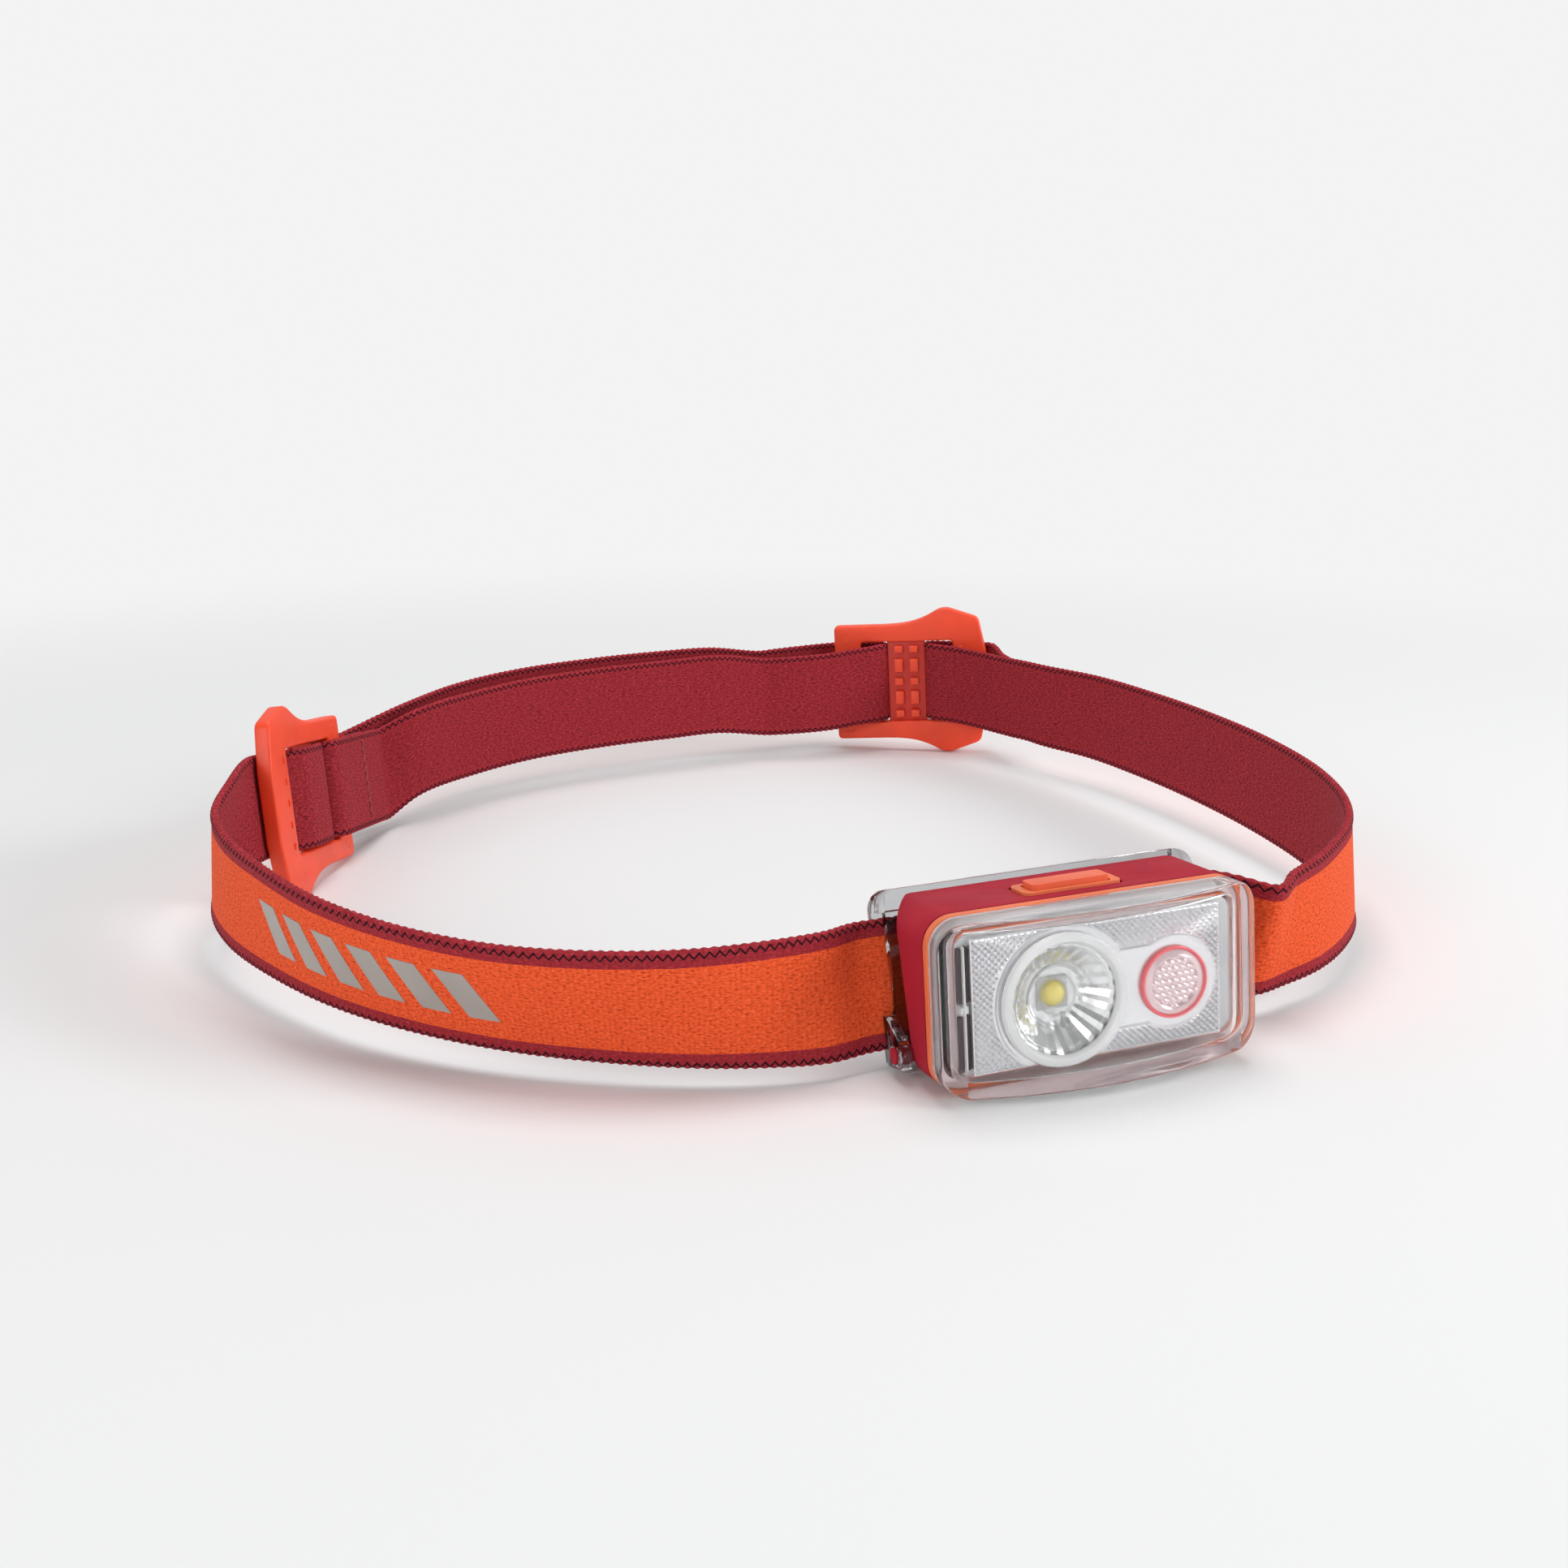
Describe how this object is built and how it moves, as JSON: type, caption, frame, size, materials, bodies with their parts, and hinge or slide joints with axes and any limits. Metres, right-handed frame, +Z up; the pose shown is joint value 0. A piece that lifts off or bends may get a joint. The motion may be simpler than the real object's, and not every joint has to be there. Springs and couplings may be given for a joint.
{
  "type": "headlamp",
  "caption": "Tilting rechargeable headlamp in a clear snap bracket on an adjustable elastic head strap with moulded slider and back buckle.",
  "frame": {"origin": "middle of the bounding box on the ground, with the headlamp standing on its lower edges as it does on a table", "axes": "+Z up, -Y the way the lamp shines, +X towards the right of someone who looks at the lamp's lens from in front"},
  "size_m": [0.208, 0.2256, 0.0376],
  "materials": {
    "housing_red": "fine spark-eroded texture, satin",
    "seal_orange": "soft-touch silicone",
    "cover_clear": "polished clear polycarbonate",
    "optic_clear": "moulded clear acrylic with prisms",
    "reflector": "smooth white",
    "ring_frosted": "frosted",
    "led_yellow": "phosphor under clear silicone",
    "ring_red": "translucent red",
    "led_red": "clear red",
    "board_green": "solder-masked board",
    "cell_foil": "wrapped cell",
    "foam_black": "open-cell foam",
    "steel": "plated",
    "flap_red": "soft moulded flap",
    "lead_red": "insulated wire",
    "lead_black": "insulated wire",
    "switch_dark": "plain",
    "switch_metal": "stamped shell",
    "bracket_clear": "clear moulded polycarbonate",
    "buckle_orange": "satin moulded nylon",
    "webbing": "knitted elastic, orange face, burgundy back and edges"
  },
  "bodies": {
    "root": {"bracket": "bracket_clear", "strap_brow": "webbing", "strap_left": "webbing", "strap_right": "webbing", "strap_outer": "webbing", "strap_inner": "webbing", "strap_turn": "webbing", "strap_fold_rear": "webbing", "buckle_rear": "buckle_orange", "strap_stretch_front": "webbing", "strap_stretch_outer": "webbing", "strap_stretch_inner": "webbing"},
    "lamp": {"housing": "housing_red", "rear_cover": "housing_red", "rear_screw_1": "steel", "rear_screw_2": "steel", "rear_screw_3": "steel", "rear_screw_4": "steel", "lens_seal": "seal_orange", "lens_cover": "cover_clear", "optic_plate": "optic_clear", "light_frame": "reflector", "main_lens_ring": "ring_frosted", "main_lens": "optic_clear", "main_led": "led_yellow", "secondary_ring": "ring_red", "secondary_lens": "optic_clear", "red_led": "led_red", "led_board": "board_green", "battery": "cell_foil", "battery_pad": "foam_black", "charge_socket": "steel", "battery_lead_positive": "lead_red", "battery_lead_negative": "lead_black", "button_bezel": "seal_orange", "switch_body": "switch_metal"},
    "button": {"power_button": "seal_orange", "switch_plunger": "switch_dark"},
    "port_flap": {"port_cover": "flap_red"},
    "side_slider": {"buckle_side": "buckle_orange", "strap_weave": "webbing", "strap_fold_side": "webbing"}
  },
  "joints": [
    {"name": "lamp_tilt", "type": "hinge", "parent": "root", "child": "lamp", "pos_m": [0.01728, -0.09436, 0.00447], "axis": [0.9995, 0.0025, 0.0331], "range_deg": [0, 60]},
    {"name": "button_press", "type": "slide", "parent": "lamp", "child": "button", "axis": [0.0332, -0.0749, -0.9966], "range_m": [0, 0.0007], "stiffness_N_per_m": 900},
    {"name": "port_cover_hinge", "type": "hinge", "parent": "lamp", "child": "port_flap", "pos_m": [0.04321, -0.09646, 0.02526], "axis": [0, -0.9972, 0.075], "range_deg": [0, 110]},
    {"name": "strap_slide", "type": "slide", "parent": "root", "child": "side_slider", "axis": [-0.431, -0.8917, 0.1381], "range_m": [-0.008, 0.008], "deforming": ["strap_stretch_front", "strap_stretch_outer", "strap_stretch_inner"]}
  ]
}
